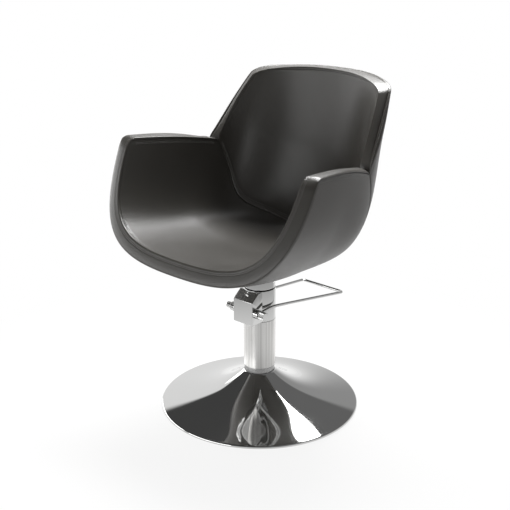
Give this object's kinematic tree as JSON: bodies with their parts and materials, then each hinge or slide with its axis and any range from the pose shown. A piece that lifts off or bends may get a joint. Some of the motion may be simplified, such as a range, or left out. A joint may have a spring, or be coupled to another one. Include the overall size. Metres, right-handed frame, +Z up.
{
  "type": "hairdressing chair",
  "caption": "Padded tub seat with raised arms and a curved low back, swivelling and lifting on a foot-pumped hydraulic column over a round trumpet base.",
  "frame": {"origin": "on the floor, under the column's axis, at the middle of the floor pad's lower face", "axes": "+Z up along the column, -Y is the way the sitter faces, +X is the sitter's left hand"},
  "size_m": [0.6502, 0.6315, 0.8703],
  "materials": {
    "leather": "satin black upholstery leather with fine grain",
    "foam": "moulded foam and ply core, out of sight",
    "chrome": "polished chrome plate",
    "satin": "satin steel tube",
    "steel": "plain bright steel",
    "iron": "rough cast iron, out of sight",
    "bronze": "sintered bronze bush",
    "rubber": "black rubber"
  },
  "bodies": {
    "base": {"floor_pad": "rubber", "weight_plate": "iron", "base_cover": "chrome", "column_spigot": "chrome", "flange_bolt_1": "steel", "flange_bolt_2": "steel", "flange_bolt_3": "steel", "flange_bolt_4": "steel", "column_tube": "satin", "cylinder_foot": "steel", "cylinder_tube": "steel", "pump_head": "chrome", "guide_bush": "bronze", "wiper_seal": "rubber", "valve_screw": "steel", "plunger_spring": "steel"},
    "lever": {"lever_shaft": "steel", "lever_hub_right": "chrome", "lever_hub_left": "chrome", "lever_cap": "chrome", "lever_nut": "chrome", "lever_loop": "chrome"},
    "plunger": {"pump_plunger": "steel"},
    "ram": {"ram_piston": "steel", "piston_seal": "rubber", "ram_rod": "steel"},
    "seat": {"seat_collar": "chrome", "swivel_bush": "bronze", "thrust_washer": "bronze", "seat_plate": "steel", "seat_bolt_1": "steel", "seat_bolt_2": "steel", "seat_bolt_3": "steel", "seat_bolt_4": "steel", "shell_core": "foam", "seat_pad": "leather", "back_pad": "leather", "seat_band": "leather", "back_band": "leather", "side_cover_left": "leather", "side_cover_right": "leather", "rear_cover": "leather"}
  },
  "joints": [
    {"name": "lift", "type": "slide", "parent": "base", "child": "ram", "axis": [0, 0, 1], "range_m": [0, 0.15]},
    {"name": "swivel", "type": "hinge", "parent": "ram", "child": "seat", "pos_m": [0, 0, 0.3378], "axis": [0, 0, 1], "continuous": true},
    {"name": "pump_lever", "type": "hinge", "parent": "base", "child": "lever", "pos_m": [0, -0.052, 0.2825], "axis": [1, 0, 0], "range_deg": [-24, 0], "stiffness_Nm_per_rad": 6, "springref_deg": 20.05},
    {"name": "plunger_stroke", "type": "slide", "parent": "base", "child": "plunger", "axis": [0, 0, 1], "range_m": [-0.0038, 0], "deforming": ["plunger_spring"]}
  ],
  "couplings": [
    {"joint": "plunger_stroke", "follows": "pump_lever", "m_per_rad": 0.009}
  ]
}
